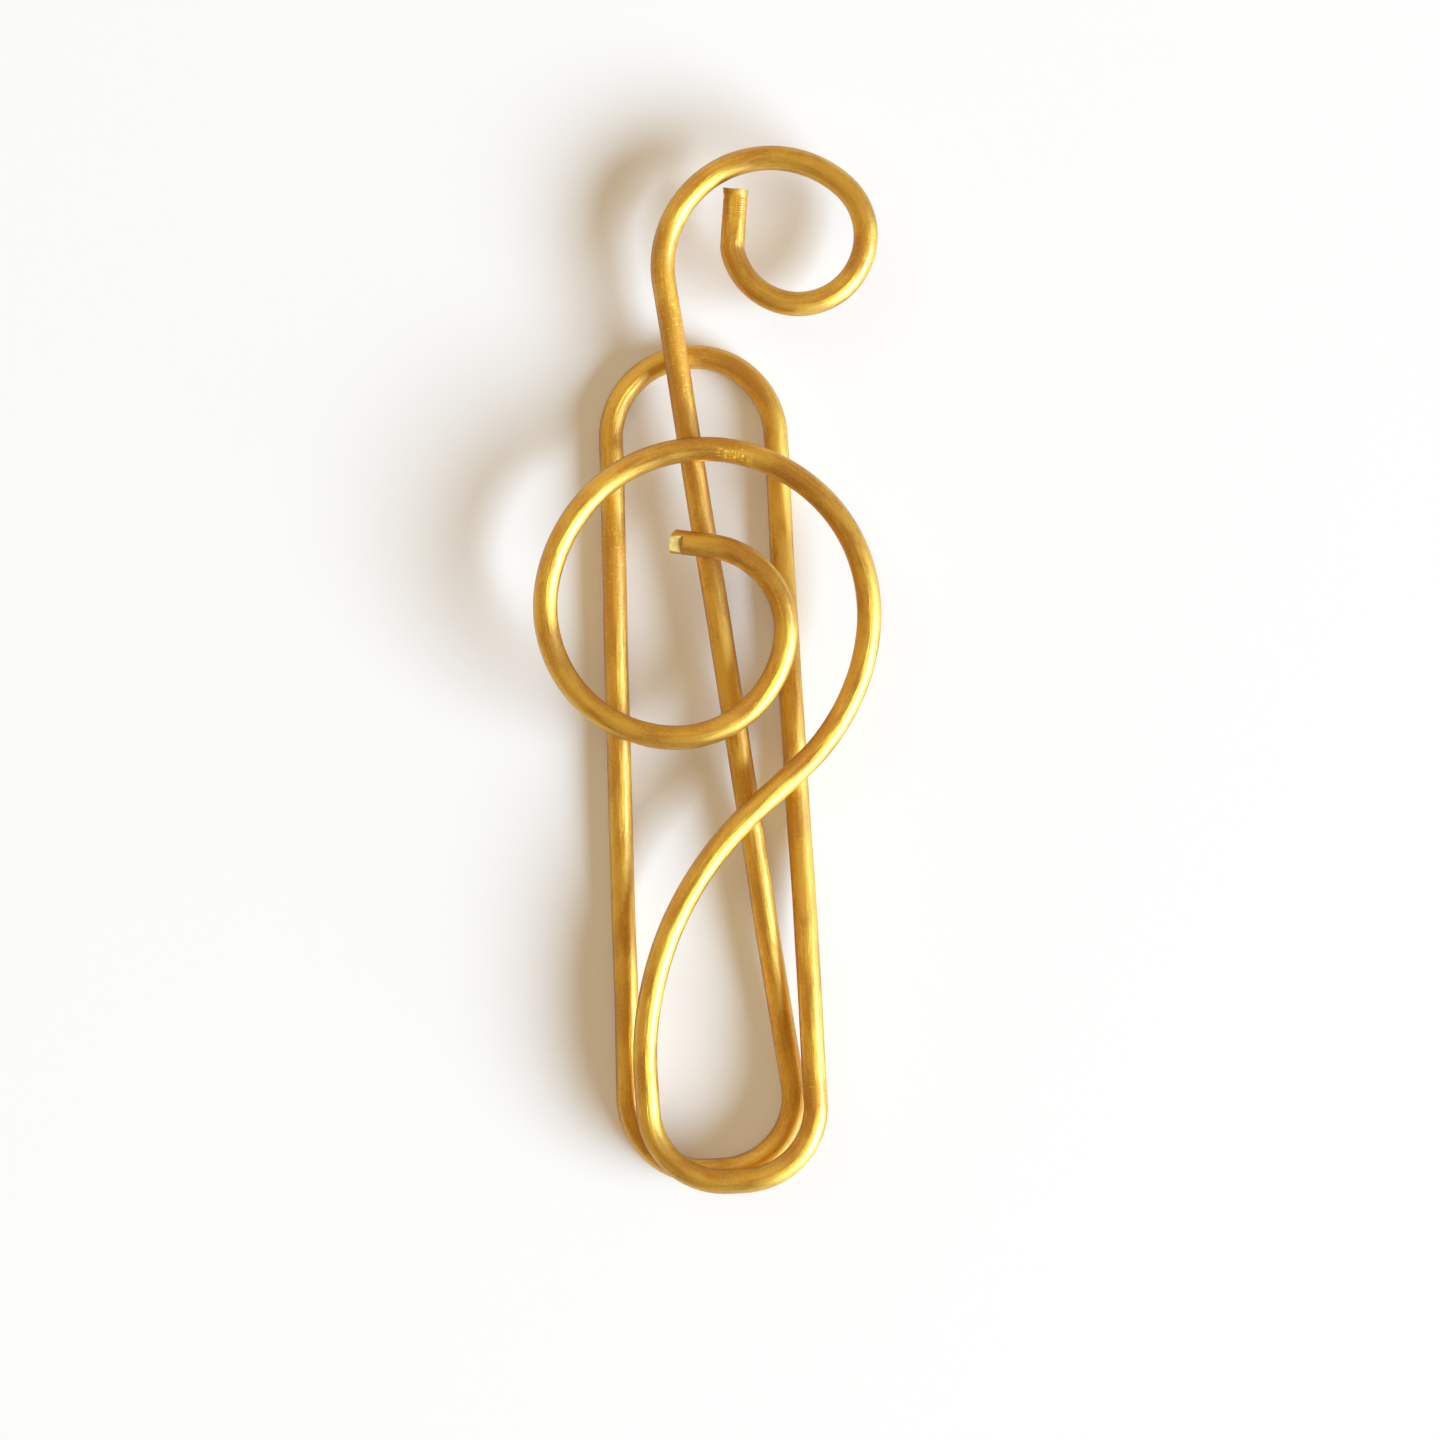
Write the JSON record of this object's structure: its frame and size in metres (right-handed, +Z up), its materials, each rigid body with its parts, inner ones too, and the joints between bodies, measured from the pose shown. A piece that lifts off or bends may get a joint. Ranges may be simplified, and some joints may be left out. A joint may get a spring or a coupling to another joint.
{
  "type": "paper clip",
  "caption": "Paper clip bent from satin brass wire in the shape of a treble clef, with a long frame loop behind a slanted stem and a spiral that spring open to hold paper.",
  "frame": {"origin": "on the table, under the middle of the clip's outline", "axes": "+Y along the frame loop towards the hook, +Z up from the table through the clef, +X to the right as the clef is read"},
  "size_m": [0.0222, 0.0646, 0.0046],
  "materials": {
    "brass": "satin, drawn and brushed along the wire"
  },
  "bodies": {
    "frame": {"top_arch": "brass", "left_leg": "brass", "right_leg": "brass", "rear_bend_left": "brass", "front_bend_right": "brass"},
    "stem": {"rear_twist": "brass", "rear_bend_right": "brass", "stem": "brass", "hook_crook": "brass", "hook_ring": "brass", "hook_tip": "brass"},
    "clef": {"front_twist": "brass", "front_bend_left": "brass", "clef_sweep": "brass", "spiral_crown": "brass", "spiral_curl": "brass", "spiral_tip": "brass"}
  },
  "joints": [
    {"name": "stem_lift", "type": "hinge", "parent": "frame", "child": "stem", "pos_m": [-0.00151, -0.03109, 0.00075], "axis": [1, 0, 0], "range_deg": [0, 4], "stiffness_Nm_per_rad": 0.4, "springref_deg": -0.29},
    {"name": "clef_lift", "type": "hinge", "parent": "stem", "child": "clef", "pos_m": [-0.00019, -0.03159, 0.00237], "axis": [1, 0, 0], "range_deg": [0, 6], "stiffness_Nm_per_rad": 0.2, "springref_deg": -0.29}
  ]
}
